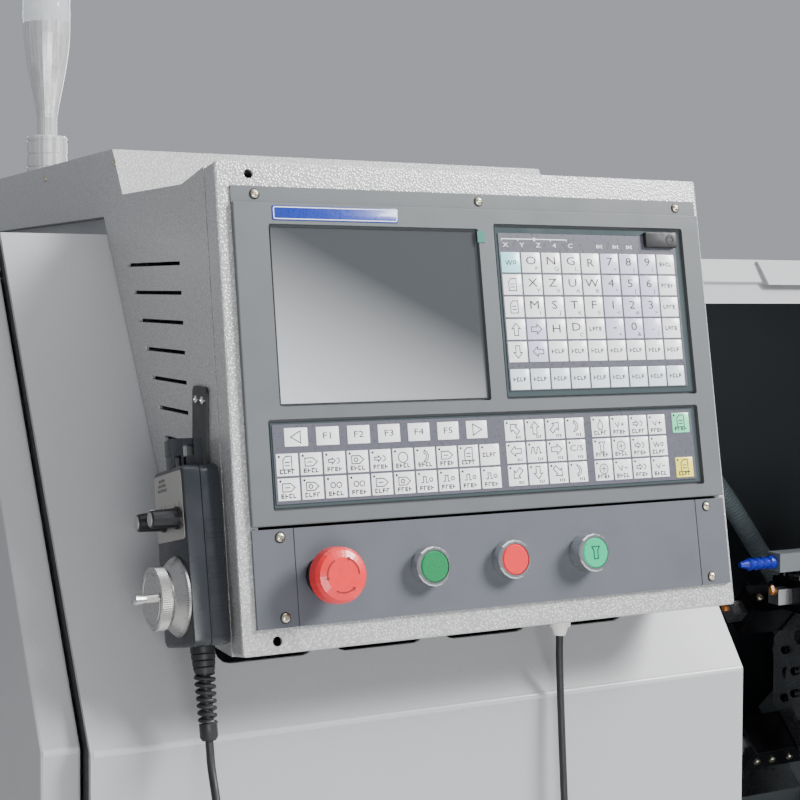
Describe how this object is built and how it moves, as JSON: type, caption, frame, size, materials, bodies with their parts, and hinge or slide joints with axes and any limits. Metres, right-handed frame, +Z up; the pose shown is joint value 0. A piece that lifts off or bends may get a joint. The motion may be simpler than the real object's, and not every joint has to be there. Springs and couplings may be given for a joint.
{
  "type": "cnc turning lathe",
  "caption": "Slant-bed CNC turning lathe with a tilted operator console at the headstock end, a hand pendant, a signal tower and a sliding work-area door.",
  "frame": {"origin": "centre of the machine's box, on the floor", "axes": "+X along the spindle from the headstock to the tailstock, +Y from the operator to the rear, +Z up"},
  "size_m": [2.15, 1.336, 2.0504],
  "materials": {
    "grey": "grey hammertone paint",
    "silver": "pebbled silver paint",
    "dark_guard": "dark paint",
    "iron": "painted casting",
    "steel": "machined",
    "black_steel": "blackened",
    "bezel": "moulded, fine grain",
    "button_plate": "fine grain",
    "screen": "dark, unlit",
    "film": "printed film",
    "black": "moulded",
    "cord": "cable jacket",
    "red": "moulded",
    "green": "moulded",
    "lit_green": "translucent",
    "chrome": "plated",
    "aluminium": "polished",
    "clear": "clear moulding",
    "window": "safety glass",
    "white": "nylon",
    "hose": "corrugated",
    "blue": "moulded segments"
  },
  "bodies": {
    "machine": {"left_end_panel": "grey", "front_cover": "grey", "roof_panel": "grey", "rear_panel": "grey", "right_end_panel": "grey", "right_cover": "grey", "door_header": "grey", "sill_cover": "grey", "console_housing": "silver", "console_cover": "silver", "headstock_guard": "dark_guard", "rear_guard": "dark_guard", "machine_base": "iron", "slant_bed": "iron", "headstock": "iron", "z_ball_screw": "steel", "controller_bezel": "bezel", "button_panel": "button_plate", "lcd_screen": "screen", "keypad_main": "film", "keypad_function": "film", "estop_collar": "black", "pendant_hook": "black", "pendant_case": "black", "strain_relief": "cord", "pendant_cable": "cord", "console_cable": "cord", "green_button_ring": "chrome", "red_button_ring": "chrome", "lit_button_ring": "chrome", "tower_base": "aluminium", "tower_body": "aluminium", "tower_lens": "clear", "console_gland": "white", "coolant_hose": "hose"},
    "door": {"sliding_door": "grey", "door_window": "window", "door_handle": "steel"},
    "cabinet_door": {"cabinet_door": "grey"},
    "spindle": {"chuck": "steel"},
    "jaw_1": {"chuck_jaw_1": "steel"},
    "jaw_2": {"chuck_jaw_2": "steel"},
    "jaw_3": {"chuck_jaw_3": "steel"},
    "saddle": {"saddle": "iron"},
    "cross_slide": {"cross_slide": "iron", "coolant_nozzle": "blue"},
    "turret": {"turret_disc": "steel", "tool_holder_top": "black_steel", "tool_holder_upper": "black_steel", "boring_bar_holder": "black_steel"},
    "tailstock": {"tailstock": "iron"},
    "quill": {"tailstock_quill": "steel"},
    "estop": {"estop_head": "red"},
    "green_button": {"green_button_cap": "green"},
    "red_button": {"red_button_cap": "red"},
    "lit_button": {"lit_button_cap": "lit_green"},
    "handwheel": {"pendant_handwheel": "aluminium"},
    "crank": {"pendant_crank": "aluminium"},
    "axis_knob": {"pendant_axis_knob": "black"},
    "scale_knob": {"pendant_scale_knob": "black"}
  },
  "joints": [
    {"name": "door_slide", "type": "slide", "parent": "machine", "child": "door", "axis": [1, 0, 0], "range_m": [-0.765, 0]},
    {"name": "cabinet_door_hinge", "type": "hinge", "parent": "machine", "child": "cabinet_door", "pos_m": [-0.955, 0.66802, 0.56], "axis": [0, 0, 1], "range_deg": [0, 110]},
    {"name": "spindle_turn", "type": "hinge", "parent": "machine", "child": "spindle", "pos_m": [-1.075, -0.25198, 0.9], "axis": [1, 0, 0], "continuous": true},
    {"name": "jaw_1_slide", "type": "slide", "parent": "spindle", "child": "jaw_1", "axis": [0, 0, 1], "range_m": [-0.004, 0.004]},
    {"name": "jaw_2_slide", "type": "slide", "parent": "spindle", "child": "jaw_2", "axis": [0, -0.866, -0.5], "range_m": [-0.004, 0.004]},
    {"name": "jaw_3_slide", "type": "slide", "parent": "spindle", "child": "jaw_3", "axis": [0, 0.866, -0.5], "range_m": [-0.004, 0.004]},
    {"name": "saddle_slide", "type": "slide", "parent": "machine", "child": "saddle", "axis": [1, 0, 0], "range_m": [-0.25, 0.05]},
    {"name": "cross_slide_feed", "type": "slide", "parent": "saddle", "child": "cross_slide", "axis": [0, 0.7071, 0.7071], "range_m": [-0.07, 0.05]},
    {"name": "turret_index", "type": "hinge", "parent": "cross_slide", "child": "turret", "pos_m": [-1.075, -0.09642, 1.05556], "axis": [1, 0, 0], "continuous": true},
    {"name": "tailstock_slide", "type": "slide", "parent": "machine", "child": "tailstock", "axis": [1, 0, 0], "range_m": [-0.05, 0.05]},
    {"name": "quill_slide", "type": "slide", "parent": "tailstock", "child": "quill", "axis": [1, 0, 0], "range_m": [-0.05, 0]},
    {"name": "estop_press", "type": "slide", "parent": "machine", "child": "estop", "axis": [0, 0.9857, -0.1686], "range_m": [0, 0.0045]},
    {"name": "green_button_press", "type": "slide", "parent": "machine", "child": "green_button", "axis": [0, 0.9857, -0.1686], "range_m": [0, 0.004], "stiffness_N_per_m": 500, "springref_m": -0.002},
    {"name": "red_button_press", "type": "slide", "parent": "machine", "child": "red_button", "axis": [0, 0.9857, -0.1686], "range_m": [0, 0.004], "stiffness_N_per_m": 500, "springref_m": -0.002},
    {"name": "lit_button_press", "type": "slide", "parent": "machine", "child": "lit_button", "axis": [0, 0.9857, -0.1686], "range_m": [0, 0.004], "stiffness_N_per_m": 500, "springref_m": -0.002},
    {"name": "handwheel_turn", "type": "hinge", "parent": "machine", "child": "handwheel", "pos_m": [-0.9505, -0.59146, 1.3535], "axis": [1, 0, 0], "continuous": true},
    {"name": "crank_grip_turn", "type": "hinge", "parent": "handwheel", "child": "crank", "pos_m": [-0.9505, -0.60808, 1.3571], "axis": [1, 0, 0], "continuous": true},
    {"name": "axis_knob_turn", "type": "hinge", "parent": "machine", "child": "axis_knob", "pos_m": [-0.9505, -0.59195, 1.41039], "axis": [1, 0, 0], "range_deg": [-60, 60]},
    {"name": "scale_knob_turn", "type": "hinge", "parent": "machine", "child": "scale_knob", "pos_m": [-0.9505, -0.56165, 1.40384], "axis": [1, 0, 0], "range_deg": [-45, 45]}
  ],
  "couplings": [
    {"joint": "jaw_2_slide", "follows": "jaw_1_slide", "ratio": 1},
    {"joint": "jaw_3_slide", "follows": "jaw_1_slide", "ratio": 1}
  ]
}
